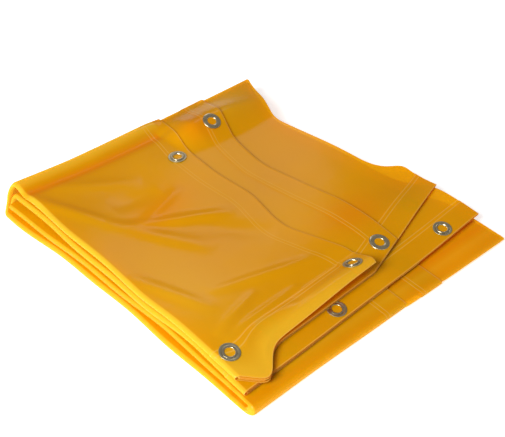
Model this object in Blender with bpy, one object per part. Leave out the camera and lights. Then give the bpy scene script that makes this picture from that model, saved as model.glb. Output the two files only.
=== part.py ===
"""Welding curtain screen, folded flat for storage.

One sheet of amber PVC film, hemmed all round, with two-piece metal eyelets through the hems.
The width is folded first, into four layers:

    layer A   free side edge, lying outermost
    layer D   joined to A by the outer left fold
    layer C   joined to D by the right fold
    layer B   joined to C by the inner left fold, ends at the other side edge

The length is then folded into four pages. From the floor up they lie 2, 3, 4, 1:
page 2 and page 3 meet at the front crease, page 3 and page 4 at the inner back wrap, and
page 1 and page 2 at the outer back wrap. Pages 1 and 4 open together about the back wraps.

X runs across the pack, Y from its front to its back wraps, Z up. The pack is worked out from its
front left corner, and is then moved so that the origin is the middle of its underside.
"""

import math

import bpy
import numpy as np
from mathutils import Matrix, Vector

# Film and hem
FILM = 0.0004
HEM_WIDTH = 0.036
HEM_STEP = 0.001

# Eyelets
EYELET_INSET = 0.020
EYELETS_ON_WIDTH = 8
EYELETS_ON_LENGTH = 7
HOLE_RADIUS = 0.0060
BARREL_WALL = 0.0004
FLANGE_RADIUS = 0.0125
FLANGE_HEIGHT = 0.0006
FLANGE_RIM_AT = 0.96
FLANGE_RIM_RISE = 0.8
WASHER_RADIUS = 0.0118
WASHER_THICKNESS = 0.00028
ROLL_RADIUS = 0.0084
ROLL_HEIGHT = 0.00022
CLAMP_GAP = 0.00012
BORE_GAP = 0.0003
EYELET_SIDES = 14

# Folded pack
PACK_WIDTH = 0.412
PACK_LENGTH = 0.451
FLAP_STEP = 0.059
PITCH_LEFT = 0.0030
PITCH_RIGHT = 0.0026
NODE_GAP = 0.0003
FRONT_1 = 0.044
FRONT_1_SKEW = 0.290
FRONT_4 = 0.010
FRONT_4_SKEW = 0.045
INSET_1 = 0.004
INSET_4 = 0.002
FLAP_A_PULL = 0.024

# Film taken up by the folds across the pack and by its inner back wrap
OUTER_FOLD_TAKE_UP = 0.012
INNER_FOLD_TAKE_UP = 0.035
INNER_WRAP_TAKE_UP = 0.0375

# Clear film left beside an eyelet's flange
FOLD_CLEARANCE = 0.0037
CREASE_CLEARANCE = 0.0020
BEND_CLEARANCE = 0.0005

# Where page 1 rises off the layers below it
LIP_RISE = 0.016
LIP_EDGE_DROP = 0.0056
LIP_FROM = 0.115
RIDGE_RISE = 0.018
RIDGE_DEPTH = 0.034
RIDGE_HOLDS = 0.036
RIDGE_END_SHARE = 0.3
HEM_LIFT = 0.0013
HEM_LIFT_FROM = 0.135

# Mesh fineness
FOLD_STEPS = 6
WRAP_STEPS = 8
NEAR_FOLD = 0.06
MID_PACK = 0.15
MID_PAGE = 0.2

# Number of layers, and the sum of the two levels that each back wrap and the front crease join
LAYERS = 16
WRAP_SUM = LAYERS - 1
CREASE_SUM = 7

# Sizes that follow from those above
BARREL_RADIUS = HOLE_RADIUS + BARREL_WALL
FRONT_FACE = FILM / 2
BACK_FACE = -1.5 * FILM
OUTER_FOLD = 1.5 * PITCH_LEFT
INNER_FOLD = 0.5 * PITCH_LEFT
RIGHT_FOLD = 0.5 * PITCH_RIGHT
CREASE_Y = (CREASE_SUM / 2) * PITCH_LEFT + 1.5 * FILM
EYELET_REACH = EYELET_INSET + FLANGE_RADIUS

# Flap A is as wide as puts its second eyelet just clear of the outer fold, and flap B is wider by its step
EYELET_TO_FOLD = FLANGE_RADIUS + OUTER_FOLD + FOLD_CLEARANCE
BESIDE_FLAPS = 2 * PACK_WIDTH + OUTER_FOLD_TAKE_UP + INNER_FOLD_TAKE_UP
SPACES = EYELETS_ON_WIDTH - 1
SPACES_LESS_FLAPS = SPACES * (EYELET_TO_FOLD + EYELET_INSET) - 2 * EYELET_INSET
FLAP_A = (SPACES_LESS_FLAPS + BESIDE_FLAPS + FLAP_STEP) / (SPACES - 2)
FLAP_B = FLAP_A + FLAP_STEP
SHEET_WIDTH = FLAP_A + FLAP_B + BESIDE_FLAPS

# The lip and the ridge bend only outside the flanges of the eyelets on them
LIP_CREST = EYELET_INSET - FLANGE_RADIUS - BEND_CLEARANCE
LIP_FOOT = EYELET_REACH + 3 * BEND_CLEARANCE
LIP_FULL = FLAP_A - FLAP_A_PULL - max(HEM_WIDTH, EYELET_REACH) - 4 * HEM_STEP
RIDGE_FROM = FLAP_A + HEM_STEP
RIDGE_FULL = FLAP_B - max(HEM_WIDTH, EYELET_REACH) - HEM_STEP
RIDGE_UNTIL = FLAP_B + RIDGE_HOLDS

# The back wraps turn about this line, so that the highest one ends at the pack's length
PITCH_AT_RIDGE = PITCH_LEFT + (PITCH_RIGHT - PITCH_LEFT) * RIDGE_FULL / PACK_WIDTH
WRAP_RADIUS = ((LAYERS - 3) * PITCH_AT_RIDGE + RIDGE_RISE) / 2
WRAP_Y = PACK_LENGTH - WRAP_RADIUS - FILM

# The sheet is as long as puts its middle side eyelets just clear of the front crease
MIDDLE_EYELET_Y = CREASE_Y + FLANGE_RADIUS + CREASE_CLEARANCE
SHEET_LENGTH = 2 * (MIDDLE_EYELET_Y + 2 * WRAP_Y - FRONT_4 + INNER_WRAP_TAKE_UP)
FRONT_CREASE_AT = MIDDLE_EYELET_Y + SHEET_LENGTH / 2
LENGTH_SPACING = (SHEET_LENGTH - 2 * EYELET_INSET) / (EYELETS_ON_LENGTH - 1)

# The ridge rises about the middle of flap B's side eyelet on page 1
EYELET_B_EDGE = FRONT_1 + FRONT_1_SKEW * (FLAP_B - EYELET_INSET - FLAP_A)
RIDGE_FOOT = EYELET_B_EDGE + EYELET_INSET + LENGTH_SPACING - RIDGE_DEPTH / 2
RIDGE_TOP = RIDGE_FOOT + RIDGE_DEPTH

# Levels above which the film belongs to page 1 and to its top layer, and below which it is the lowest
PAGE_1_ABOVE = LAYERS - 4.5
TOP_ABOVE = LAYERS - 1.1
LOWEST_BELOW = 0.1

# Level of layers A, D, C and B in each page, counted from the floor
LEVELS = {1: (15, 12, 13, 14), 2: (0, 3, 2, 1), 3: (7, 4, 5, 6), 4: (8, 11, 10, 9)}


def ramp(value, start, end):
    """0 up to start, 1 from end, straight between them."""
    return np.clip((value - start) / (end - start), 0.0, 1.0)


def pitch(x):
    """Height of one layer of the pack, which is thicker over the left folds."""
    return PITCH_LEFT + (PITCH_RIGHT - PITCH_LEFT) * x / PACK_WIDTH


def ridge(x, y):
    """Rise of page 1 towards the outer back wrap, right of flap A."""
    across = ramp(x, RIDGE_FROM, RIDGE_FULL)
    fall = 1 - (1 - RIDGE_END_SHARE) * ramp(x, RIDGE_UNTIL, PACK_WIDTH)
    return RIDGE_RISE * across * fall * ramp(y, RIDGE_FOOT, RIDGE_TOP)


def lip(x, y):
    """Curl of flap A's front hem: up from its foot to its crest, then down a little to the edge."""
    crest = FRONT_1 + LIP_CREST
    up = 1 - ramp(y, crest, FRONT_1 + LIP_FOOT)
    down = LIP_EDGE_DROP * (1 - ramp(y, FRONT_1, crest))
    return (LIP_RISE * up - down) * ramp(x, LIP_FROM, LIP_FULL)


def height(level, x, y):
    """Height of the film's middle plane at a level, which is a fraction inside a fold."""
    z = FILM / 2 + level * pitch(x)
    z = z + np.where(level > PAGE_1_ABOVE, ridge(x, y), 0.0)
    z = z + np.where(level > TOP_ABOVE, lip(x, y), 0.0)
    return z + np.where(level < LOWEST_BELOW, HEM_LIFT * ramp(x, HEM_LIFT_FROM, LIP_FULL), 0.0)


def front_edge(page, x):
    if page == 1:
        return FRONT_1 + FRONT_1_SKEW * np.maximum(0.0, x - FLAP_A)
    return FRONT_4 + FRONT_4_SKEW * x


def left_edge(page, y):
    """Pages 1 and 4 are folded a little short at their front left corner."""
    inset = {1: INSET_1, 2: 0.0, 3: 0.0, 4: INSET_4}[page]
    return inset * (1 - y / WRAP_Y)


def flap_a_edge(y):
    """The free edge of layer A is pulled in between its ends."""
    along = ramp(y, FRONT_1, WRAP_Y)
    return FLAP_A - FLAP_A_PULL * np.sin(math.pi * along)


def page_columns(page, y):
    """Points across the pack at one y, from A's free edge to B's: x, level and count of plies."""
    a, d, c, b = LEVELS[page]
    left = left_edge(page, y) + OUTER_FOLD + 1.5 * FILM
    right = PACK_WIDTH - RIGHT_FOLD - 1.5 * FILM
    edge_a = float(flap_a_edge(y))

    def flat(xs, level):
        return [(x, level) for x in xs]

    def fold(x, radius, start, end):
        middle, half = (start + end) / 2, (start - end) / 2
        turns = np.linspace(0, math.pi, FOLD_STEPS + 1)
        return [(x + radius * math.sin(t), middle + half * math.cos(t)) for t in turns]

    hem_a, hem_b = edge_a - HEM_WIDTH, FLAP_B - HEM_WIDTH
    bends = (RIDGE_FROM, RIDGE_FULL, RIDGE_UNTIL)
    beside_b = sorted({RIDGE_FROM, RIDGE_FULL, hem_b - HEM_STEP})
    points = flat((edge_a, hem_a, hem_a - HEM_STEP, LIP_FULL, LIP_FROM, NEAR_FOLD), a)
    points += fold(left, -OUTER_FOLD, a, d)
    points += flat((NEAR_FOLD, MID_PACK) + bends, d)
    points += fold(right, RIGHT_FOLD, d, c)
    points += flat(bends[::-1] + (MID_PACK, NEAR_FOLD), c)
    points += fold(left, -INNER_FOLD, c, b)
    points += flat((NEAR_FOLD, MID_PACK, *beside_b, hem_b, FLAP_B), b)
    x, level = np.array(points).T
    plies = np.ones(len(x))
    plies[:2] = 2
    plies[-2:] = 2
    return x, level, plies


def grid_mesh(name, points, plies):
    """A film of one or two plies on a grid of points: front faces, back faces and a rim."""
    along_s = np.gradient(points, axis=1)
    along_t = np.gradient(points, axis=0)
    normal = np.cross(along_s, along_t)
    normal /= np.linalg.norm(normal, axis=2, keepdims=True)
    front = points + normal * FRONT_FACE
    back = points - normal * ((plies - 0.5) * FILM)[:, :, None]
    rows, columns = plies.shape
    corners = np.concatenate([front.reshape(-1, 3), back.reshape(-1, 3)])
    index = np.arange(rows * columns).reshape(rows, columns)
    quads = np.stack([index[:-1, :-1], index[:-1, 1:], index[1:, 1:], index[1:, :-1]], 2).reshape(-1, 4)
    rim = np.concatenate([index[0, :-1], index[:-1, -1], index[-1, :0:-1], index[:0:-1, 0]])
    beside = np.roll(rim, -1)
    under = rows * columns
    sides = np.stack([rim, rim + under, beside + under, beside], 1)
    faces = np.concatenate([quads, quads[:, ::-1] + under, sides])
    mesh = bpy.data.meshes.new(name)
    mesh.from_pydata(corners.tolist(), [], faces.tolist())
    return mesh


def page_mesh(page):
    """One page: a serpentine of four layers, with two plies along its hems."""
    last = WRAP_Y - NODE_GAP / 2
    if page in (2, 3):
        stations = [(0.0, CREASE_Y + NODE_GAP / 2, 1), (0.0, MID_PAGE, 1), (0.0, last, 1)]
    elif page == 4:
        stations = [(1.0, 0.0, 2), (1.0, HEM_WIDTH, 2), (1.0, HEM_WIDTH + HEM_STEP, 1)]
        stations += [(0.0, MID_PAGE, 1), (0.0, last, 1)]
    else:
        bends = sorted((LIP_CREST, LIP_FOOT, HEM_WIDTH, HEM_WIDTH + HEM_STEP))
        stations = [(1.0, 0.0, 2)] + [(1.0, y, 2 if y <= HEM_WIDTH else 1) for y in bends]
        stations += [(0.0, y, 1) for y in (MID_PAGE, RIDGE_FOOT, RIDGE_TOP, last)]
    rows, plies = [], []
    for skewed, y, count in stations:
        x, level, side_plies = page_columns(page, y)
        at = y + skewed * front_edge(page, x)
        rows.append(np.stack([x, at, height(level, x, at)], 1))
        plies.append(np.maximum(side_plies, count))
    if page in (2, 4):
        rows, plies = rows[::-1], plies[::-1]
    return grid_mesh(f"film_page_{page}", np.array(rows), np.array(plies))


def half_turn_mesh(name, upper, total, y, depth, reverse):
    """The film between an upper page and the page below it, whose levels add up to total."""
    x, level, plies = page_columns(upper, y)
    top, bottom = height(level, x, y), height(total - level, x, y)
    rows = []
    for turn in np.linspace(0, math.pi, WRAP_STEPS + 1):
        z = (top + bottom) / 2 + (top - bottom) / 2 * math.cos(turn)
        out = y + depth * (top - bottom) / 2 * math.sin(turn)
        rows.append(np.stack([x, out + math.copysign(NODE_GAP / 2, depth), z], 1))
    if reverse:
        rows = rows[::-1]
    return grid_mesh(name, np.array(rows), np.tile(plies, (WRAP_STEPS + 1, 1)))


def eyelet_places():
    """Name, page, layer, x and y of every eyelet, from its place on the flat sheet."""
    outer_fold = FLAP_A + OUTER_FOLD_TAKE_UP
    right_fold = outer_fold + PACK_WIDTH
    places = []
    for page, row in ((1, "front"), (4, "rear")):
        for i, s in enumerate(np.linspace(EYELET_INSET, SHEET_WIDTH - EYELET_INSET, EYELETS_ON_WIDTH)):
            if s < FLAP_A:
                layer, x = 0, FLAP_A - s
            elif s < right_fold:
                layer, x = 1, s - outer_fold
            elif s < SHEET_WIDTH - FLAP_B:
                layer, x = 2, right_fold + PACK_WIDTH - s
            else:
                layer, x = 3, FLAP_B - (SHEET_WIDTH - s)
            places.append((f"{row}_{i + 1}", page, layer, x, front_edge(page, x) + EYELET_INSET))
    inner = np.linspace(EYELET_INSET, SHEET_LENGTH - EYELET_INSET, EYELETS_ON_LENGTH)[1:-1]
    for side, layer in (("a", 0), ("b", 3)):
        for i, t in enumerate(inner):
            x = FLAP_B - EYELET_INSET
            if t < FRONT_CREASE_AT / 2:
                page, y = 1, front_edge(1, x if layer else 0.0) + t
            elif t < FRONT_CREASE_AT:
                page, y = 2, FRONT_CREASE_AT - t
            elif t < (FRONT_CREASE_AT + SHEET_LENGTH) / 2:
                page, y = 3, t - FRONT_CREASE_AT
            else:
                page, y = 4, FRONT_4 + SHEET_LENGTH - t
            if layer == 0:
                x = float(flap_a_edge(y)) - EYELET_INSET
            places.append((f"side_{side}_{i + 1}", page, layer, x, float(y)))
    return places


def eyelet_frame(page, layer, x, y):
    """Place of an eyelet: origin on the film's middle plane, Z along the sheet's front face."""
    level = float(LEVELS[page][layer])
    reach = 0.002
    slope_x = (height(level, x + reach, y) - height(level, x - reach, y)) / (2 * reach)
    slope_y = (height(level, x, y + reach) - height(level, x, y - reach)) / (2 * reach)
    face_up = (page in (1, 3)) == (layer in (1, 3))
    normal = Vector((-slope_x, -slope_y, 1.0)).normalized() * (1 if face_up else -1)
    turn = Vector((0, 0, 1)).rotation_difference(normal).to_matrix().to_4x4()
    return Matrix.Translation((x, y, float(height(level, x, y)))) @ turn


def ring_mesh(name, profile, sides, place):
    """A closed outline of (radius, height) points turned about the axis of place."""
    turns = 2 * math.pi * np.arange(sides) / sides
    radius, z = np.array(profile).T
    points = np.stack([np.outer(np.cos(turns), radius), np.outer(np.sin(turns), radius)], 2)
    points = np.concatenate([points, np.broadcast_to(z, (sides, len(z)))[:, :, None]], 2)
    index = np.arange(sides * len(z)).reshape(sides, len(z))
    after, beside = np.roll(index, -1, 0), np.roll(index, -1, 1)
    faces = np.stack([index, after, np.roll(after, -1, 1), beside], 2).reshape(-1, 4)
    mesh = bpy.data.meshes.new(name)
    mesh.from_pydata(points.reshape(-1, 3).tolist(), [], faces.tolist())
    mesh.transform(place)
    return mesh


def grommet_profile():
    """Flange with a domed face, barrel, and the barrel's end rolled over the washer."""
    seat = FRONT_FACE + CLAMP_GAP
    crown = seat + FLANGE_HEIGHT
    roll = BACK_FACE - 2 * CLAMP_GAP - WASHER_THICKNESS
    foot = roll - ROLL_HEIGHT
    return [
        (HOLE_RADIUS, seat),
        (HOLE_RADIUS, roll - ROLL_HEIGHT / 2),
        ((BARREL_RADIUS + ROLL_RADIUS) / 2, foot),
        (ROLL_RADIUS, roll),
        (BARREL_RADIUS, roll),
        (BARREL_RADIUS, seat),
        (FLANGE_RADIUS, seat),
        (FLANGE_RIM_AT * FLANGE_RADIUS, seat + FLANGE_RIM_RISE * FLANGE_HEIGHT),
        ((HOLE_RADIUS + FLANGE_RADIUS) / 2, crown),
    ]


def washer_profile():
    inner = BARREL_RADIUS + BORE_GAP
    top = BACK_FACE - CLAMP_GAP
    bottom = top - WASHER_THICKNESS
    return [(inner, top), (inner, bottom), (WASHER_RADIUS, bottom), (WASHER_RADIUS, top)]


def cutter_mesh(name, places):
    """Plugs that cut the eyelet holes of one page, long enough for both plies of a hem."""
    radius, reach = BARREL_RADIUS + BORE_GAP, 4 * FILM
    turns = 2 * math.pi * np.arange(EYELET_SIDES) / EYELET_SIDES
    points, faces = [], []
    for place in places:
        start = len(points)
        for z in (-reach, reach):
            points += [place @ Vector((radius * math.cos(t), radius * math.sin(t), z)) for t in turns]
        low = list(range(start, start + EYELET_SIDES))
        high = [i + EYELET_SIDES for i in low]
        faces += [low[::-1], high]
        for i in range(EYELET_SIDES):
            j = (i + 1) % EYELET_SIDES
            faces.append((low[i], low[j], high[j], high[i]))
    mesh = bpy.data.meshes.new(name)
    mesh.from_pydata([tuple(p) for p in points], [], faces)
    return mesh


def material(name, colour, roughness, metallic, alpha=1.0):
    made = bpy.data.materials.new(name)
    made.use_nodes = True
    shader = made.node_tree.nodes["Principled BSDF"]
    shader.inputs["Base Color"].default_value = (*colour, 1.0)
    shader.inputs["Roughness"].default_value = roughness
    shader.inputs["Metallic"].default_value = metallic
    shader.inputs["Alpha"].default_value = alpha
    made.diffuse_color = (*colour, alpha)
    return made


def add_object(mesh, finish, parent=None):
    obj = bpy.data.objects.new(mesh.name, mesh)
    bpy.context.scene.collection.objects.link(obj)
    mesh.materials.append(finish)
    mesh.shade_smooth()
    mesh.set_sharp_from_angle(angle=math.radians(35))
    if parent:
        obj.parent = parent
        obj.matrix_parent_inverse = Matrix.Translation(parent.location).inverted()
    return obj


def add_pivot(name, location):
    pivot = bpy.data.objects.new(name, None)
    pivot.location = location
    bpy.context.scene.collection.objects.link(pivot)
    return pivot


def cut_holes(obj, places):
    cutter = bpy.data.objects.new(f"cutter_{obj.name}", cutter_mesh(f"cutter_{obj.name}", places))
    bpy.context.scene.collection.objects.link(cutter)
    cutter.hide_render = True
    cutter.display_type = "WIRE"
    holes = obj.modifiers.new("eyelet holes", "BOOLEAN")
    holes.operation = "DIFFERENCE"
    holes.solver = "EXACT"
    holes.object = cutter


def main():
    for obj in list(bpy.data.objects):
        bpy.data.objects.remove(obj)
    to_centre = Matrix.Translation((-PACK_WIDTH / 2, -PACK_LENGTH / 2, 0.0))
    film = material("amber_film", (0.72, 0.33, 0.012), 0.18, 0.0, 0.8)
    nickel = material("eyelet_metal", (0.55, 0.47, 0.32), 0.32, 1.0)
    steel = material("washer_metal", (0.50, 0.44, 0.32), 0.38, 1.0)
    pack_top = float(height(15.0, FLAP_A, FRONT_1 + LIP_CREST)) + 1.5 * FILM
    hinge = to_centre @ Vector((PACK_WIDTH / 2, WRAP_Y, pack_top / 2))
    pivots = {1: add_pivot("page_1_pivot", hinge), 4: add_pivot("page_4_pivot", hinge)}

    pages = {}
    for page in LEVELS:
        mesh = page_mesh(page)
        mesh.transform(to_centre)
        pages[page] = add_object(mesh, film, pivots.get(page))
    outer = half_turn_mesh("film_outer_wrap", 1, WRAP_SUM, WRAP_Y, 1.0, True)
    inner = half_turn_mesh("film_inner_wrap", 4, WRAP_SUM, WRAP_Y, 1.0, False)
    crease = half_turn_mesh("film_front_crease", 3, CREASE_SUM, CREASE_Y, -1.0, False)
    for mesh in (outer, inner, crease):
        mesh.transform(to_centre)
        add_object(mesh, film)

    holes = {page: [] for page in LEVELS}
    for name, page, layer, x, y in eyelet_places():
        place = to_centre @ eyelet_frame(page, layer, x, y)
        holes[page].append(place)
        grommet = ring_mesh(f"grommet_{name}", grommet_profile(), EYELET_SIDES, place)
        washer = ring_mesh(f"washer_{name}", washer_profile(), EYELET_SIDES, place)
        add_object(grommet, nickel, pivots.get(page))
        add_object(washer, steel, pivots.get(page))
    for page, places in holes.items():
        cut_holes(pages[page], places)
    bpy.context.view_layer.update()


main()
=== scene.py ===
import math

import bpy
import numpy as np
from mathutils import Matrix, Vector


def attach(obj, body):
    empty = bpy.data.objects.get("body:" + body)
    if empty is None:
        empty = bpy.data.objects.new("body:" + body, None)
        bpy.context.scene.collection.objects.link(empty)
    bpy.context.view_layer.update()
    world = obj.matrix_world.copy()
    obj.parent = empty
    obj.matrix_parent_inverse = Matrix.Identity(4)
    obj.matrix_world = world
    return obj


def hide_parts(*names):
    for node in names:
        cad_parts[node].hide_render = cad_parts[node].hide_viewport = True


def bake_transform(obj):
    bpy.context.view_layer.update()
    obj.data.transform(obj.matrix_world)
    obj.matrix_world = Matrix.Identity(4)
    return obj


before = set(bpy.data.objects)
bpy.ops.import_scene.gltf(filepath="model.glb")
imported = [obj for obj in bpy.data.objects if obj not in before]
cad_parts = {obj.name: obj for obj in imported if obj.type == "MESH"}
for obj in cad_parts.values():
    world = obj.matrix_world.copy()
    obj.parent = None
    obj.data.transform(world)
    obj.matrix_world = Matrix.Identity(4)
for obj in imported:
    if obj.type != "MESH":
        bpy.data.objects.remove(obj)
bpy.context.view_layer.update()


# ---------------------------------------------------------------------------
# Film of the curtain
# One sheet of soft amber PVC film, 0.4 mm thick and 1.4 m by 1.8 m when it hangs. It is folded
# into four layers across its width, A on D on C on B, and then into four pages along its length:
# 2, 3, 4 and 1 from the floor up. Its edges are turned in by 36 mm and welded.

PACK_WIDTH = 0.412
PACK_LENGTH = 0.451
TO_CENTRE = np.array([PACK_WIDTH / 2, PACK_LENGTH / 2, 0.0])

# The flat sheet, where s runs across its width from A's free edge and t along it from page 1's end
SHEET_WIDTH = 1.400
SHEET_LENGTH = 1.801
HEM = 0.036
PLY_GAP = 0.0005  # between the film and its turned-in hem
INSET = 0.020  # from the edge to the row of eyelets
FLAP_A = 0.235  # from the left folds to the free edge of A
FLAP_B = 0.294  # and to the free edge of B
OUTER_FOLD_S = FLAP_A - 0.005
D_FROM_S = FLAP_A + 0.007
RIGHT_FOLD_S = FLAP_A + 0.012 + PACK_WIDTH
INNER_FOLD_S = RIGHT_FOLD_S + 0.410
B_FROM_S = SHEET_WIDTH - 0.289
CREASE_T = 0.926

# The folded pack, where x runs from the left folds and y from the front crease
# The levels of each page's layers A, D, C and B, counted up from the floor
LEVELS = {1: (15, 12, 13, 14), 2: (0, 3, 2, 1), 3: (7, 4, 5, 6), 4: (8, 11, 10, 9)}
PITCH_LEFT = 0.0030  # from one level to the next at the left folds
PITCH_RIGHT = 0.0026
LOWEST = 0.0008  # the height of level 0
WRAP_Y = 0.42372  # the hinge line
BACK_Y = 0.4385  # where the back wraps start
CREASE_Y = 0.0111  # where the front crease starts
WRAP_DEPTH = 0.48  # how far the back wraps stand out, as a share of half their height
CREASE_DEPTH = 2.35  # the same for the front crease
CREASE_REACH = 0.0098  # how far the front crease stands out beside the flaps
FORWARD = 0.0115  # the front crease lies this much further forward at its right end
FRONT_AT = {1: 0.044, 4: 0.010}  # the flat front ends of pages 1 and 4
FRONT_SKEW = 0.045  # rise of those ends in y over x
LEFT_X = 0.0051  # where the left folds start
# How far each page's outer and inner left folds stand out
LEFT_REACH = {1: (0.0056, 0.0022), 2: (0.0040, 0.0030), 3: (0.0030, 0.0018), 4: (0.0046, 0.0012)}
RIGHT_REACH = 0.0014

# The values held at each point of the film; the last is its painted light and shade
X, Y, Z, S, T, PAINTED_LIGHT_AND_SHADE = range(6)


def ramp(v, start, end, rounding=0.1):
    """0 before start and 1 after end: a straight rise whose two bends are rounded hyperbolas."""
    t = (v - start) / (end - start)
    return (np.sqrt(t * t + rounding**2) - np.sqrt((t - 1) ** 2 + rounding**2) + 1) / 2


def gauss(off, width):
    """A Gaussian of height 1, from the distance off its middle."""
    return np.exp(-((off / width) ** 2))


def bump(x, y, at, size, turn=0.0):
    """A Gaussian hill of height 1 at a point, with a half width along and across its turned axis."""
    c, s = math.cos(turn), math.sin(turn)
    along = ((x - at[0]) * c + (y - at[1]) * s) / size[0]
    across = ((y - at[1]) * c - (x - at[0]) * s) / size[1]
    return np.exp(-(along**2) - across**2)


def through_points(v, points):
    """A smooth line through (at, value) points: straight pieces, averaged over 24 mm."""
    at, value = np.array(points).T
    return sum(np.interp(v + step, at, value) for step in (-0.012, -0.006, 0.0, 0.006, 0.012)) / 5


def press(x, y):
    """How far the layers stand apart: they are pressed thin at the front crease and at the right
    front corner, and stand a little closer in the middle than at the two sides."""
    side = 1 - 0.20 * ramp(x, -0.03, 0.09, 0.2) + 0.13 * ramp(x, 0.30, 0.42, 0.2)
    side = side - 0.24 * bump(x, y, (0.405, 0.128), (0.050, 0.040))
    return (0.30 + 0.70 * ramp(y, -0.03, 0.10, 0.2)) * side


def swell(x, y):
    """Slow waves that run through the whole pack, as a sum of three sines, dying out at the back."""
    waves = (
        0.0011 * np.sin(17 * x + 9 * y)
        + 0.0009 * np.sin(25 * y - 12 * x + 1.1)
        + 0.0007 * np.sin(31 * x - 21 * y + 2.0)
    )
    return waves * (1 - 0.85 * ramp(y, 0.36, 0.42))


def lip(x, y):
    """Curl of flap A's front hem, from its foot up to its crest, growing to the right."""
    up = 1 - ramp(y, 0.051, 0.078, 0.12)
    down = 0.35 * (1 - ramp(y, 0.044, 0.051, 0.3))
    return (0.017 * up - 0.016 * down) * ramp(x, 0.05, 0.185, 0.15)


def ridge(x, y):
    """Rise of page 1 before the back wrap, right of flap A, which fades to the right fold."""
    fall = 1 - 0.95 * ramp(x, 0.315, 0.405, 0.1)
    rise = ramp(y, 0.350, 0.384, 0.12) * (1 - 0.93 * ramp(y, 0.392, 0.434, 0.15))
    return 0.019 * ramp(x, 0.215, 0.250) * fall * rise


def off_edge(y):
    """Distance behind the middle of the rolled edge along the back of flap A."""
    return y - BACK_Y + 0.001


def off_valley(x, y):
    """Distance behind the middle of the shallow valley before the rolled edge."""
    return y - BACK_Y + 0.019 + 0.03 * x


def roll(x, y):
    """The rolled edge along the back of flap A, with a shallow valley before it."""
    edge = 0.0046 * gauss(off_edge(y), 0.0075)
    valley = 0.0022 * gauss(off_valley(x, y), 0.007)
    return (edge - valley) * (1 - ramp(x, 0.215, 0.245))


def fold_line(x, y, start, end, height, width):
    """A soft raised line from one point to another, with a Gaussian profile, fading at both ends."""
    run = (end[0] - start[0], end[1] - start[1])
    length = math.hypot(*run)
    along = ((x - start[0]) * run[0] + (y - start[1]) * run[1]) / length**2
    off = ((x - start[0]) * run[1] - (y - start[1]) * run[0]) / length
    fade = np.sin(math.pi * np.clip(along, 0, 1)) ** 0.7
    return height * fade * gauss(off, width)


# Start, end, height and width of each crease
CREASES = (
    ((0.062, 0.292), (0.185, 0.228), 0.0022, 0.0085),
    ((0.080, 0.280), (0.165, 0.309), 0.0019, 0.0070),
    ((0.000, 0.430), (0.062, 0.285), 0.0024, 0.0100),
    ((0.050, 0.310), (0.120, 0.190), 0.0020, 0.0120),
    ((0.060, 0.138), (0.205, 0.100), 0.0020, 0.0080),
    ((0.040, 0.412), (0.135, 0.350), 0.0018, 0.0120),
    ((0.010, 0.215), (0.050, 0.110), 0.0018, 0.0090),
    ((0.026, 0.066), (0.128, 0.066), 0.0026, 0.0042),
    ((0.026, 0.074), (0.150, 0.084), 0.0026, 0.0046),
    ((0.024, 0.084), (0.105, 0.106), 0.0020, 0.0055),
    ((0.045, 0.047), (0.200, 0.054), 0.0016, 0.0030),
    ((0.050, 0.058), (0.225, 0.062), 0.0012, 0.0028),
    ((0.075, 0.330), (0.140, 0.322), -0.0016, 0.0140),
    ((0.120, 0.250), (0.190, 0.165), -0.0016, 0.0160),
)


def creases(x, y):
    """Soft creases of flap A: lines that meet in its middle, and pleats beside its front left eyelet."""
    return sum(fold_line(x, y, *crease) for crease in CREASES)


def lifted(level, x, y):
    """Height of the film at a level, which is a fraction inside a fold."""
    pitch = PITCH_LEFT + (PITCH_RIGHT - PITCH_LEFT) * x / PACK_WIDTH
    z = LOWEST + level * pitch * press(x, y) + swell(x, y) * level / 15
    page_1 = np.clip(level - 11, 0, 1)
    top = np.clip((level - 14.5) * 2, 0, 1)
    z = z + page_1 * (ridge(x, y) + roll(x, y))
    return z + top * (lip(x, y) + creases(x, y))


def front_edge(page, x):
    """The skewed front edge of an end page."""
    if page == 1:
        return 0.036 + FRONT_SKEW * x + 0.27 * np.maximum(0.0, x - FLAP_A)
    return 0.0155 + FRONT_SKEW * x


def side_shift(page, y):
    """Each page's folds lie a little to one side of the next one's, wander along their length and
    spread at the back left corner."""
    base = {1: 0.0035, 2: -0.0040, 3: -0.0010, 4: 0.0020}[page]
    spread = {1: 0.0070, 2: -0.0060, 3: -0.0075, 4: 0.0030}[page] * ramp(y, 0.33, 0.43, 0.2)
    wander = 0.0014 * np.sin(19 * y + 1.7 * page) + 0.0008 * np.sin(47 * y + 2.3 * page)
    return base + spread + wander


def right_edge(y):
    """The right folds are drawn in towards the back, and come out again at the back wraps."""
    points = (
        (0.074, 0.4100), (0.096, 0.4050), (0.120, 0.390), (0.145, 0.381), (0.17, 0.3765), (0.24, 0.371),
        (0.32, 0.3625), (0.345, 0.360), (0.38, 0.375), (0.42, 0.391), (0.45, 0.406),
    )
    return through_points(y, points)


def flap_edge(y):
    """The free edge of flap A, which waves between its ends."""
    points = (
        (0.045, FLAP_A), (0.09, 0.222), (0.15, 0.2085), (0.19, 0.2105), (0.24, 0.222), (0.30, 0.2165),
        (0.36, 0.2195), (0.42, 0.236), (0.45, 0.239),
    )
    return through_points(y, points)


def flap_b_edge(page, y):
    """The free edge of flap B, which waves on page 1 and is straight below it."""
    if page != 1:
        return FLAP_B + 0 * y
    points = (
        (0.06, 0.296), (0.12, 0.294), (0.19, 0.287), (0.28, 0.2755), (0.33, 0.283), (0.38, 0.297),
        (0.42, 0.309), (0.45, 0.318),
    )
    return through_points(y, points)


# Number of grid steps across each layer and fold, from A's free edge to B's
STEPS_ACROSS = {"a": 62, "outer": 12, "d": 92, "right": 10, "c": 46, "inner": 8, "b": 76}


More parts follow.
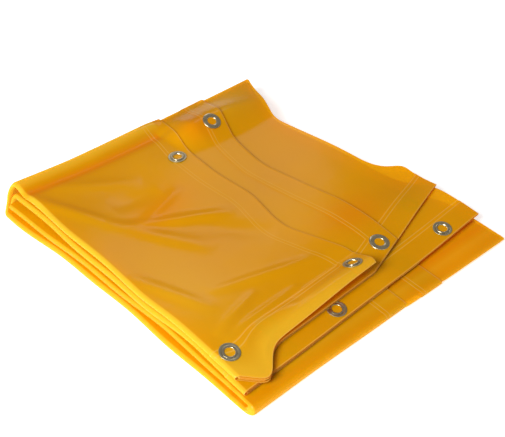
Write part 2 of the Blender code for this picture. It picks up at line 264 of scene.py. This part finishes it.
def across(page, y, shift):
    """One row of the fold map for each y: x, level and the flat distance s from A's free edge.

    Layer A runs from its free edge to the outer fold, D to the right fold, C back to the inner
    fold and B to its free edge. Each fold is a half circle between its two levels.
    """
    a, d, c, b = LEVELS[page]
    outer_reach, inner_reach = LEFT_REACH[page]
    count = STEPS_ACROSS
    y = np.asarray(y)[:, None]
    left = shift[:, None] + LEFT_X
    right = right_edge(y) - 0.0012 + shift[:, None] * 0.3 * (1 - ramp(y, 0.35, 0.40))
    edge, edge_b = flap_edge(y), flap_b_edge(page, y)

    def flat(x0, x1, level, s0, s1, steps):
        """A layer from x0 to x1 at one level, as x, level and s."""
        f = np.linspace(0, 1, steps, endpoint=False)[None, :]
        return x0 + (x1 - x0) * f, np.full(steps, float(level)), s0 + (s1 - s0) * f[0]

    def fold(x0, reach, start, end, s0, s1, steps):
        """A fold at x0 that stands out by its reach, from one level to another."""
        f = np.linspace(0, 1, steps, endpoint=False)
        turn = math.pi * f
        level = (start + end) / 2 + (start - end) / 2 * np.cos(turn)
        return x0 + reach * np.sin(turn)[None, :], level, s0 + (s1 - s0) * f

    right_from, right_to = RIGHT_FOLD_S - 0.002, RIGHT_FOLD_S + 0.002
    pieces = [
        flat(edge, left, a, 0.0, OUTER_FOLD_S, count["a"]),
        fold(left, -outer_reach, a, d, OUTER_FOLD_S, D_FROM_S, count["outer"]),
        flat(left, right, d, D_FROM_S, right_from, count["d"]),
        fold(right, RIGHT_REACH, d, c, right_from, right_to, count["right"]),
        flat(right, left, c, right_to, INNER_FOLD_S, count["c"]),
        fold(left, -inner_reach, c, b, INNER_FOLD_S, B_FROM_S, count["inner"]),
        flat(left, edge_b, b, B_FROM_S, SHEET_WIDTH, count["b"]),
    ]
    x = np.concatenate([np.broadcast_to(p[0], (len(y), len(p[1]))) for p in pieces], 1)
    x = np.concatenate([x, np.broadcast_to(edge_b, (len(y), 1))], 1)
    level = np.concatenate([p[1] for p in pieces] + [[float(b)]])
    s = np.concatenate([p[2] for p in pieces] + [[SHEET_WIDTH]])
    in_fold = np.abs(level - np.round(level)) > 0.02
    return x, level[None, :] + 0 * x, s[None, :] + 0 * x, in_fold[None, :] + 0 * x


def pulled(page, x, y, z):
    """The front left corner of page 1 is drawn forward and down into a soft tip."""
    if page == 1:
        pull = bump(x, y, (0.034, 0.036), (0.022, 0.028))
        y = y - 0.026 * pull
        z = z - 0.006 * pull
    return x, y, z


def painted_light_and_shade(page, level, x, y, in_fold):
    """Painted light and shade on the film, from -1 to 1: folds and raised edges are painted pale, as if
    lit through, and the lower pages, under many layers, are painted deep orange shade."""
    # Painted shade: the lower pages are painted deeper orange, as they lie in the shade of the pages above
    # them.
    low = {1: 0.0, 2: -0.30, 3: -0.55, 4: -0.45}[page]
    # Painted glow along the left and right folds.
    left_fold_glow = in_fold * (x < 0.2) * {1: 1.0, 2: 0.75, 3: 0.55, 4: 0.9}[page]
    right_fold_glow = in_fold * (x > 0.2) * 0.6
    value = np.maximum(low, np.maximum(left_fold_glow, right_fold_glow))
    if page == 1:
        # Page 1: painted glow on the curl of flap A's front hem and on the rolled back edge; painted shade
        # in the valley before it, under the ridge and in two patches; painted light in two more patches.
        value = value + 0.75 * (1 - ramp(y, 0.047, 0.066, 0.2)) * (level > 14)
        value = value + 0.85 * gauss(off_edge(y), 0.0075) * (x < 0.225)
        value = value - 0.55 * gauss(off_valley(x, y), 0.008) * (x < 0.215)
        value = value - 0.45 * bump(x, y, (0.256, 0.385), (0.024, 0.026)) * (level < 14.5)
        value = value - 0.35 * bump(x, y, (0.285, 0.130), (0.050, 0.030))
        value = value - 0.30 * bump(x, y, (0.120, 0.290), (0.050, 0.024), 0.3)
        value = value + 0.60 * bump(x, y, (0.335, 0.410), (0.045, 0.030))
        value = value + 0.30 * bump(x, y, (0.045, 0.150), (0.050, 0.080))
    elif page in (2, 3):
        # Painted light and shade in stripes near the front crease.
        value = value + 0.30 * np.sin(330 * y + 7 * x) * (1 - ramp(y, 0.02, 0.07))
    return np.clip(value, -1, 1)


def page_points(page, rows, shift):
    """The film of one page on rows of its flat length, skewed by its front edge near the front."""
    x, level, s, in_fold = across(page, rows, shift)
    y = np.asarray(rows)[:, None] + 0 * x
    t = y
    skew_from, skew_to = 0.037, 0.2
    if page in (1, 4):
        near = 1 - np.clip((y - skew_from) / (skew_to - skew_from), 0, 1)
        y = y + front_edge(page, x) * near
        t = t - FRONT_AT[page] * (1 - near)
    else:
        y = y - FORWARD * x / PACK_WIDTH * (1 - np.clip(y / 0.10, 0, 1))
    painted_light_and_shade_values = painted_light_and_shade(page, level, x, y, in_fold)
    x, y, z = pulled(page, x, y, lifted(level, x, y))
    return np.stack([x, y, z, s, t, painted_light_and_shade_values], 2)


def half_turn(upper, lower, side, depth, steps, low=1.0):
    """The film round a back wrap or the front crease: half of a squarish ellipse from the upper page's
    last row to the lower page's first one. Its other values slide from one row to the other, with a
    painted glow added round the turn, and a low above 1 brings its outermost line down."""
    turn = np.linspace(0, math.pi, steps + 1)[1:-1][:, None]
    out = side * depth * np.abs(np.sin(turn)) ** 0.62
    mix = ((1 - np.cos(turn)) / 2)[:, :, None]
    made = upper[None] * (1 - mix) + lower[None] * mix
    top, bottom = upper[:, Z], lower[:, Z]
    down = (1 + np.sign(np.cos(turn)) * np.abs(np.cos(turn)) ** 0.72) / 2
    made[:, :, Z] = bottom + (top - bottom) * down**low
    made[:, :, Y] = made[:, :, Y] + out * np.abs(top - bottom)[None, :] / 2
    # Painted glow: the film is painted paler round the turn.
    painted_fold_glow = np.sin(turn) ** 2
    made[:, :, PAINTED_LIGHT_AND_SHADE] = np.clip(made[:, :, PAINTED_LIGHT_AND_SHADE] + 0.7 * painted_fold_glow, -1, 1)
    return made


def normals_of(grid):
    """Unit normals of a grid of points, towards the film's front face."""
    normal = np.cross(np.gradient(grid[:, :, :3], axis=1), np.gradient(grid[:, :, :3], axis=0))
    return normal / (np.linalg.norm(normal, axis=2, keepdims=True) + 1e-12)


def turned_in(grid, count, from_start):
    """A hem: the first or last rows are carried on past the edge and laid back on the film's back face."""
    ply = grid.copy()
    ply[:, :, :3] -= normals_of(grid) * PLY_GAP
    ply = ply[:count] if from_start else ply[-count:]
    return np.concatenate([ply[::-1], grid]) if from_start else np.concatenate([grid, ply[::-1]])


def page_between(number, start, end, step):
    """One page from a start to an end of its flat length, in even rows about a step apart."""
    rows = np.linspace(start, end, int(round(abs(end - start) / step)) + 1)
    return page_points(number, rows, side_shift(number, rows))


def evened(crease):
    """The front crease with its layers beyond the free edges of A and B drawn to one even reach, so
    that it doesn't step back where a flap ends."""
    x, s = crease[:, :, X], crease[:, :, S]
    in_b = s > B_FROM_S
    beside_a = in_b * ramp(x, FLAP_A - 0.014, FLAP_A + 0.001, 0.2)
    beside_b = (~in_b) * ramp(x, FLAP_B - 0.014, FLAP_B + 0.001, 0.2)
    share = np.clip(beside_a + beside_b * np.where(s > RIGHT_FOLD_S, 0.96, 0.9), 0, 1)
    line = CREASE_Y - FORWARD * x / PACK_WIDTH * (1 - CREASE_Y / 0.10)
    reach = line - crease[:, :, Y]
    even_reach = CREASE_REACH * reach / np.max(reach, axis=0)
    crease[:, :, Y] = line - (reach + (even_reach - reach) * share)
    return crease


# The whole sheet as one grid of rows, from page 1's front edge to page 4's
page_1 = page_between(1, 0.0, BACK_Y, 0.0034)
page_2 = page_between(2, BACK_Y, CREASE_Y, 0.010)
page_3 = page_between(3, CREASE_Y, BACK_Y, 0.010)
page_4 = page_between(4, BACK_Y, 0.0, 0.0060)
outer_wrap = half_turn(page_1[-1], page_2[0], 1.0, WRAP_DEPTH, 26)
front_crease = evened(half_turn(page_3[0], page_2[-1], -1.0, CREASE_DEPTH, 22, 1.7)[::-1])
inner_wrap = half_turn(page_4[0], page_3[-1], 1.0, WRAP_DEPTH, 14)[::-1]
page_2[:, :, T] = CREASE_T - page_2[:, :, T]
page_3[:, :, T] = CREASE_T + page_3[:, :, T]
page_4[:, :, T] = SHEET_LENGTH - page_4[:, :, T]
runs = [page_1, outer_wrap, page_2, front_crease, page_3, inner_wrap, page_4]
for i in (1, 3, 5):
    steps = np.linspace(0, 1, len(runs[i]) + 2)[1:-1][:, None]
    runs[i][:, :, T] = runs[i - 1][-1, :, T] * (1 - steps) + runs[i + 1][0, :, T] * steps

# Where each run ends. The wraps take in the rows of their pages that lie behind the hinge line.
INSIDE = 60  # a column, or a row, that lies clear of the hems
ends = np.cumsum([len(run) for run in runs])
behind = [int(np.sum(np.abs(run[:, INSIDE, Y]) > WRAP_Y)) for run in runs]
ends = ends + np.array([-behind[0], behind[2], 0, 0, -behind[4], behind[6], 0])
sheet = np.concatenate(runs)

# The hems: the rows at the two ends are turned in, then the columns at the two sides
front_rows = int(np.sum(sheet[: ends[0], 0, T] <= HEM))
rear_rows = int(np.sum(sheet[:, 0, T] >= SHEET_LENGTH - HEM))
sheet = turned_in(turned_in(sheet, front_rows, True), rear_rows, False)
ends = ends + front_rows
sheet = np.swapaxes(sheet, 0, 1)
sheet = turned_in(sheet, int(np.sum(sheet[:, INSIDE, S] <= HEM)), True)
sheet = turned_in(sheet, int(np.sum(sheet[:, INSIDE, S] >= SHEET_WIDTH - HEM)), False)
sheet = np.swapaxes(sheet, 0, 1)
sheet[:, :, :3] -= TO_CENTRE
sheet_normals = normals_of(sheet)


def film_object(name, first, last):
    """The rows from first to last as a mesh, with its flat coordinates in metres as its UV map, its
    painted light and shade as an attribute, and normals that run on into the pieces beside it."""
    grid = sheet[first : last + 1]
    index = np.arange(grid.shape[0] * grid.shape[1]).reshape(grid.shape[:2])
    quads = np.stack([index[:-1, :-1], index[:-1, 1:], index[1:, 1:], index[1:, :-1]], 2).reshape(-1, 4)
    mesh = bpy.data.meshes.new(name)
    mesh.from_pydata(grid[:, :, :3].reshape(-1, 3).tolist(), [], quads.tolist())
    uv = mesh.uv_layers.new(name="flat sheet")
    uv.data.foreach_set("uv", grid[:, :, S : T + 1].reshape(-1, 2)[quads.ravel()].ravel())
    painted_light_and_shade_values = mesh.attributes.new("painted_light_and_shade", "FLOAT", "POINT")
    painted_light_and_shade_values.data.foreach_set("value", np.ascontiguousarray(grid[:, :, PAINTED_LIGHT_AND_SHADE]).ravel())
    mesh.shade_smooth()
    mesh.normals_split_custom_set_from_vertices(sheet_normals[first : last + 1].reshape(-1, 3).tolist())
    obj = bpy.data.objects.new(name, mesh)
    bpy.context.scene.collection.objects.link(obj)
    steps = np.linalg.norm(np.diff(grid[:, :, :3], axis=0), axis=2)
    return obj, float(np.mean(np.sum(steps, axis=0)))


film_page_1, length_page_1 = film_object("film_top_page", 0, ends[0] - 1)
film_outer, length_outer = film_object("film_outer_back_wrap", ends[0] - 1, ends[1])
film_base, length_base = film_object("film_lower_pages", ends[1], ends[4] - 1)
film_inner, length_inner = film_object("film_inner_back_wrap", ends[4] - 1, ends[5])
film_page_4, length_page_4 = film_object("film_second_page", ends[5], len(sheet) - 1)
films = (film_page_1, film_outer, film_base, film_inner, film_page_4)


def new_material(name):
    """A new material with its nodes, its links and its main shader."""
    made = bpy.data.materials.new(name)
    made.use_nodes = True
    nodes = made.node_tree.nodes
    return made, nodes, made.node_tree.links, nodes["Principled BSDF"]


def noise(nodes, links, vector, scale, detail):
    """Cloudy noise over a vector."""
    node = nodes.new("ShaderNodeTexNoise")
    node.inputs["Scale"].default_value = scale
    node.inputs["Detail"].default_value = detail
    links.new(vector, node.inputs["Vector"])
    return node.outputs["Fac"]


def spread_to(nodes, links, value, low, high):
    """A value from 0 to 1, carried to the range from low to high."""
    node = nodes.new("ShaderNodeMapRange")
    node.inputs["To Min"].default_value = low
    node.inputs["To Max"].default_value = high
    links.new(value, node.inputs["Value"])
    return node.outputs[0]


def colour_mix(nodes, links, share, first, second):
    """Two colours mixed by a share from 0 to 1. Each is a plain colour or a node's output."""
    node = nodes.new("ShaderNodeMix")
    node.data_type = "RGBA"
    links.new(share, node.inputs["Factor"])
    for name, colour in (("A", first), ("B", second)):
        if isinstance(colour, tuple):
            node.inputs[name].default_value = (*colour, 1)
        else:
            links.new(colour, node.inputs[name])
    return node.outputs["Result"]


def relief(nodes, links, height, strength, distance, shader):
    """Fine bumps on a shader, from a height."""
    node = nodes.new("ShaderNodeBump")
    node.inputs["Strength"].default_value = strength
    node.inputs["Distance"].default_value = distance
    links.new(height, node.inputs["Height"])
    links.new(node.outputs[0], shader.inputs["Normal"])


def hem_group():
    """The weld lines of the hem and a painted highlight along its cut edge, from the flat sheet's
    coordinates in metres: each is a soft line at its own distance from the nearest edge."""
    group = bpy.data.node_groups.new("hem masks", "ShaderNodeTree")
    group.interface.new_socket("Flat", in_out="INPUT", socket_type="NodeSocketVector")
    group.interface.new_socket("Weld", in_out="OUTPUT", socket_type="NodeSocketFloat")
    nodes, links = group.nodes, group.links
    enter, leave = nodes.new("NodeGroupInput"), nodes.new("NodeGroupOutput")
    split = nodes.new("ShaderNodeSeparateXYZ")
    links.new(enter.outputs["Flat"], split.inputs[0])

    def math_node(operation, *values):
        """One step of arithmetic on plain numbers and outputs."""
        node = nodes.new("ShaderNodeMath")
        node.operation = operation
        for entry, value in zip(node.inputs, values):
            if isinstance(value, float):
                entry.default_value = value
            else:
                links.new(value, entry)
        return node.outputs[0]

    def to_edge(value, size):
        """Distance to the nearer of two edges, at 0 and at size."""
        return math_node("MINIMUM", value, math_node("SUBTRACT", size, value))

    def line(at, width):
        """A soft line at a distance from the nearest edge."""
        off = math_node("ABSOLUTE", math_node("SUBTRACT", near, at))
        node = nodes.new("ShaderNodeMapRange")
        node.interpolation_type = "SMOOTHSTEP"
        node.inputs["From Min"].default_value = width
        node.inputs["From Max"].default_value = 0.0
        links.new(off, node.inputs["Value"])
        return node.outputs[0]

    across_width, along_length = split.outputs[0], split.outputs[1]
    near = math_node("MINIMUM", to_edge(across_width, SHEET_WIDTH), to_edge(along_length, SHEET_LENGTH))
    first_weld, second_weld, weld_width = 0.0275, 0.0325, 0.0009
    # A painted highlight along the cut edge.
    cut_edge, cut_width = 0.0002, 0.0016
    welds = math_node("MAXIMUM", line(first_weld, weld_width), line(second_weld, weld_width))
    links.new(math_node("MAXIMUM", welds, line(cut_edge, cut_width)), leave.inputs["Weld"])
    return group


hem_masks = hem_group()

# The film's finish: a glossy surface over coloured film that passes part of the light behind it, its
# colour mixed with painted light and shade
amber, nodes, links, shader = new_material("amber PVC film")
coordinates = nodes.new("ShaderNodeTexCoord")
masks = nodes.new("ShaderNodeGroup")
masks.node_tree = hem_masks
links.new(coordinates.outputs["UV"], masks.inputs["Flat"])
painted_light_and_shade_value = nodes.new("ShaderNodeAttribute")
painted_light_and_shade_value.attribute_name = "painted_light_and_shade"


def toward(colour, end, before):
    """Moves a colour output towards another colour as the painted light and shade value goes from 0 to an
    end.
    """
    share = nodes.new("ShaderNodeMapRange")
    share.inputs["From Min"].default_value = 0.0
    share.inputs["From Max"].default_value = end
    links.new(painted_light_and_shade_value.outputs["Fac"], share.inputs["Value"])
    return colour_mix(nodes, links, share.outputs[0], before, colour)


cloud = noise(nodes, links, coordinates.outputs["Object"], 9.0, 3.0)
tint = colour_mix(nodes, links, cloud, (0.82, 0.425, 0.001), (0.95, 0.575, 0.002))
# Painted shade and painted glow: the colour goes towards deep orange as the painted value falls to -1, and
# towards pale yellow as it rises to 1.
painted_shade_orange, painted_glow_yellow = (1.0, 0.29, 0.0), (1.0, 0.75, 0.04)
shaded = toward(painted_glow_yellow, 1.0, toward(painted_shade_orange, -1.0, tint))
# The weld lines and the painted edge highlight are mixed towards pale yellow.
weld_and_edge_highlight_share = nodes.new("ShaderNodeMath")
weld_and_edge_highlight_share.operation = "MULTIPLY"
weld_and_edge_highlight_share.inputs[1].default_value = 0.75
links.new(masks.outputs["Weld"], weld_and_edge_highlight_share.inputs[0])
welds_and_edge_highlight = colour_mix(nodes, links, weld_and_edge_highlight_share.outputs[0], shaded, (1.0, 0.72, 0.12))
links.new(welds_and_edge_highlight, shader.inputs["Base Color"])
shader.inputs["IOR"].default_value = 1.5
shader.inputs["Specular IOR Level"].default_value = 0.17
links.new(spread_to(nodes, links, cloud, 0.14, 0.30), shader.inputs["Roughness"])
ripple = noise(nodes, links, coordinates.outputs["Object"], 38.0, 2.0)
height_sum = nodes.new("ShaderNodeMath")
height_sum.operation = "MULTIPLY_ADD"
height_sum.inputs[1].default_value = 0.25
links.new(masks.outputs["Weld"], height_sum.inputs[0])
links.new(ripple, height_sum.inputs[2])
relief(nodes, links, height_sum.outputs[0], 0.35, 0.0012, shader)
through = nodes.new("ShaderNodeBsdfTransparent")
through.inputs["Color"].default_value = (1.0, 0.58, 0.003, 1)
film_mix = nodes.new("ShaderNodeMixShader")
film_mix.inputs[0].default_value = 0.5
links.new(through.outputs[0], film_mix.inputs[1])
links.new(shader.outputs[0], film_mix.inputs[2])
links.new(film_mix.outputs[0], nodes["Material Output"].inputs["Surface"])
for film in films:
    film.data.materials.append(amber)


# ---------------------------------------------------------------------------
# Eyelets
# Twenty-six eyelets go through the double film of the hems, 20 mm in from the edges. Each is a
# pressed nickel-plated grommet, whose barrel passes the film and is rolled over a flat washer.

HOLE = 0.0060
FLANGE = 0.0125
EYELET_SEGMENTS = 56


def on_film(page, layer, x, y):
    """A point of the film above a place of the pack."""
    z = lifted(float(LEVELS[page][layer]), np.array(x), np.array(y))
    return Vector([float(v) for v in pulled(page, np.array(x), np.array(y), z)])


def seat(page, layer, x, y):
    """Where an eyelet sits: on the film, with its Z along the sheet's front face."""
    reach = 0.007
    along_x = on_film(page, layer, x + reach, y) - on_film(page, layer, x - reach, y)
    along_y = on_film(page, layer, x, y + reach) - on_film(page, layer, x, y - reach)
    normal = along_x.cross(along_y).normalized()
    if (page in (1, 3)) != (layer in (1, 3)):
        normal = -normal
    middle = (
        on_film(page, layer, x, y) * 2
        + on_film(page, layer, x + reach, y)
        + on_film(page, layer, x - reach, y)
    ) / 4
    turn = Vector((0, 0, 1)).rotation_difference(normal).to_matrix().to_4x4()
    return Matrix.Translation(middle - Vector(TO_CENTRE)) @ turn


def turned(name, outline, place, wobble=0.0):
    """A closed outline of (radius, height) turned about an axis. The wobble varies the radius round
    it as a sum of two sines, which start at a different angle for each length of the name."""
    turns = 2 * math.pi * np.arange(EYELET_SEGMENTS) / EYELET_SEGMENTS
    radius, z = np.array(outline).T
    uneven = 1 + wobble * (np.sin(5 * turns + len(name)) + 0.6 * np.sin(11 * turns))
    r = radius[None, :] * uneven[:, None]
    points = np.stack([np.cos(turns)[:, None] * r, np.sin(turns)[:, None] * r, z[None, :] + 0 * r], 2)
    index = np.arange(r.size).reshape(r.shape)
    after = np.roll(index, -1, 0)
    faces = np.stack([index, after, np.roll(after, -1, 1), np.roll(index, -1, 1)], 2).reshape(-1, 4)
    mesh = bpy.data.meshes.new(name)
    mesh.from_pydata(points.reshape(-1, 3).tolist(), [], faces.tolist())
    mesh.transform(place)
    mesh.shade_smooth()
    obj = bpy.data.objects.new(name, mesh)
    bpy.context.scene.collection.objects.link(obj)
    return obj


def arc(centre, radii, start, end, steps):
    """Points on an ellipse between two angles in degrees."""
    turn = np.radians(np.linspace(start, end, steps))
    return [(centre[0] + radii[0] * math.cos(a), centre[1] + radii[1] * math.sin(a)) for a in turn]


def grommet_outline(crown, curl):
    """A domed flange, a straight barrel and its end curled outwards over the washer."""
    mid, half = (HOLE + FLANGE) / 2, (FLANGE - HOLE) / 2
    back, wall, curl_radius = -0.0013, 0.0008, 0.0013
    under = 0.00032
    return (
        arc((mid, 0.00033), (half, crown), 0, 180, 15)
        + [(HOLE, back)]
        + arc((HOLE + curl_radius, back), (curl_radius, curl), 180, 360, 11)
        + [(HOLE + wall, back), (HOLE + wall, under), (FLANGE - 0.0004, under)]
    )


def washer_outline():
    """A flat ring with a rounded outer edge."""
    inner, outer, top, low = 0.0069, 0.0118, -0.00075, -0.00125
    rim = (outer - 0.0003, (top + low) / 2)
    return [(inner, top), (inner, low)] + arc(rim, (0.0003, 0.00025), -90, 90, 7)


def row_edge(page, x):
    """Where the front edge of page 1 or 4 lies beside its row of eyelets."""
    if page == 1:
        return FRONT_AT[1] + 0.290 * max(0.0, x - FLAP_A)
    return FRONT_AT[4] + FRONT_SKEW * x


def eyelet_places():
    """Name, body, page, layer, x and y of each eyelet, spaced evenly along the flat edges."""
    spread = np.linspace(INSET, SHEET_WIDTH - INSET, 8)
    along = np.linspace(INSET, SHEET_LENGTH - INSET, 7)[1:-1]
    page_along = (1, 2, 2, 3, 4)  # the page of each side eyelet
    bodies = {1: "page_top", 2: "base", 3: "base", 4: "page_second"}
    places = []
    for page, row in ((1, "front"), (4, "rear")):
        for i, s in enumerate(spread):
            if s < FLAP_A:
                layer, x = 0, FLAP_A - s
            elif s < RIGHT_FOLD_S:
                layer, x = 1, s - (RIGHT_FOLD_S - PACK_WIDTH)
            elif s < SHEET_WIDTH - FLAP_B:
                layer, x = 2, RIGHT_FOLD_S + PACK_WIDTH - s
            else:
                layer, x = 3, FLAP_B - (SHEET_WIDTH - s)
            places.append((f"{row}_{i + 1}", bodies[page], page, layer, x, row_edge(page, x) + INSET))
    for side, layer in (("a", 0), ("b", 3)):
        for i, (page, t) in enumerate(zip(page_along, along)):
            x = FLAP_B - INSET
            y = {
                1: row_edge(1, x if layer else 0.0) + t,
                2: CREASE_T - t,
                3: t - CREASE_T,
                4: FRONT_AT[4] + SHEET_LENGTH - t,
            }[page]
            if layer == 0:
                x = float(flap_edge(y)) - INSET
            elif page == 1:
                x, y = x + 0.002, y + 0.008
            places.append((f"side_{side}_{i + 1}", bodies[page], page, layer, x, float(y)))
    return places


def metal(name, colour, roughness):
    """Plated metal with faint cloudy tarnish, which also roughens it."""
    made, nodes, links, shader = new_material(name)
    place = nodes.new("ShaderNodeTexCoord")
    stain = noise(nodes, links, place.outputs["Object"], 260.0, 4.0)
    tarnished = tuple(c * 0.62 for c in colour)
    links.new(colour_mix(nodes, links, stain, tarnished, colour), shader.inputs["Base Color"])
    rough = spread_to(nodes, links, stain, roughness - 0.08, roughness + 0.12)
    links.new(rough, shader.inputs["Roughness"])
    relief(nodes, links, stain, 0.25, 0.0003, shader)
    shader.inputs["Metallic"].default_value = 1.0
    return made


nickel = metal("nickel plated grommet", (0.74, 0.63, 0.42), 0.27)
washer_finish = metal("nickel plated washer", (0.68, 0.60, 0.40), 0.38)

# These stand prouder than the other eyelets, which the fold presses flatter
STANDING_PROUD = {"side_a_1", "side_b_1", "front_1", "front_8", "rear_4"}
for name, body, page, layer, x, y in eyelet_places():
    place = seat(page, layer, x, y)
    crown, curl = (0.0013, 0.0010) if name in STANDING_PROUD else (0.0006, 0.0003)
    grommet = turned(f"eyelet_{name}", grommet_outline(crown, curl), place)
    washer = turned(f"eyelet_washer_{name}", washer_outline(), place, 0.006)
    grommet.data.materials.append(nickel)
    washer.data.materials.append(washer_finish)
    for piece, kind in ((grommet, "grommet"), (washer, "washer")):
        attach(piece, body)
        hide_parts(f"{kind}_{name}")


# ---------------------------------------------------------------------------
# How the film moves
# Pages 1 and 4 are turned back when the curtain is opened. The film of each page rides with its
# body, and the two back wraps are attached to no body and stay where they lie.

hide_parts("film_page_1")
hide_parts("film_outer_wrap")
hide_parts("film_page_2", "film_page_3", "film_front_crease")
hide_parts("film_inner_wrap")
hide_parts("film_page_4")
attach(film_page_1, "page_top")
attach(film_base, "base")
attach(film_page_4, "page_second")
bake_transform(film_outer)
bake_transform(film_inner)


# ---------------------------------------------------------------------------
# Floor, light and camera
# A pale seamless floor under soft light from all round, with one broad lamp above the left side
# and a faint one behind it on the right.

bpy.ops.mesh.primitive_plane_add(size=14, location=(0, 0, -0.0005))
floor = bpy.context.object
floor.name = "studio_floor"
pale, nodes, links, shader = new_material("pale floor")
shader.inputs["Base Color"].default_value = (0.93, 0.93, 0.93, 1)
shader.inputs["Roughness"].default_value = 0.9
shader.inputs["Specular IOR Level"].default_value = 0.1
shader.inputs["Emission Color"].default_value = (1, 1, 1, 1)
shader.inputs["Emission Strength"].default_value = 0.55
floor.data.materials.append(pale)

world = bpy.data.worlds.new("soft room")
world.use_nodes = True
world.node_tree.nodes["Background"].inputs["Color"].default_value = (1, 1, 1, 1)
world.node_tree.nodes["Background"].inputs["Strength"].default_value = 0.25
bpy.context.scene.world = world


def soft_lamp(name, at, size, power):
    """A square area lamp turned towards the pack."""
    data = bpy.data.lights.new(name, "AREA")
    data.size = size
    data.energy = power
    lamp = bpy.data.objects.new(name, data)
    lamp.location = at
    lamp.rotation_euler = (-Vector(at)).to_track_quat("-Z", "Y").to_euler()
    bpy.context.scene.collection.objects.link(lamp)
    return lamp


soft_lamp("key_lamp", (-1.6, -0.35, 1.3), 0.9, 52)
soft_lamp("back_lamp", (1.0, 1.15, 1.15), 0.45, 2)

camera_data = bpy.data.cameras.new("camera")
camera_data.lens = 75.6
camera_data.sensor_width = 36.0
camera = bpy.data.objects.new("camera", camera_data)
camera.location = (-0.6884, -0.7445, 0.84)
camera.rotation_euler = (math.radians(50.7), 0.0, math.radians(-42.9))
bpy.context.scene.collection.objects.link(camera)
bpy.context.scene.camera = camera
bpy.context.scene.view_settings.view_transform = "Standard"
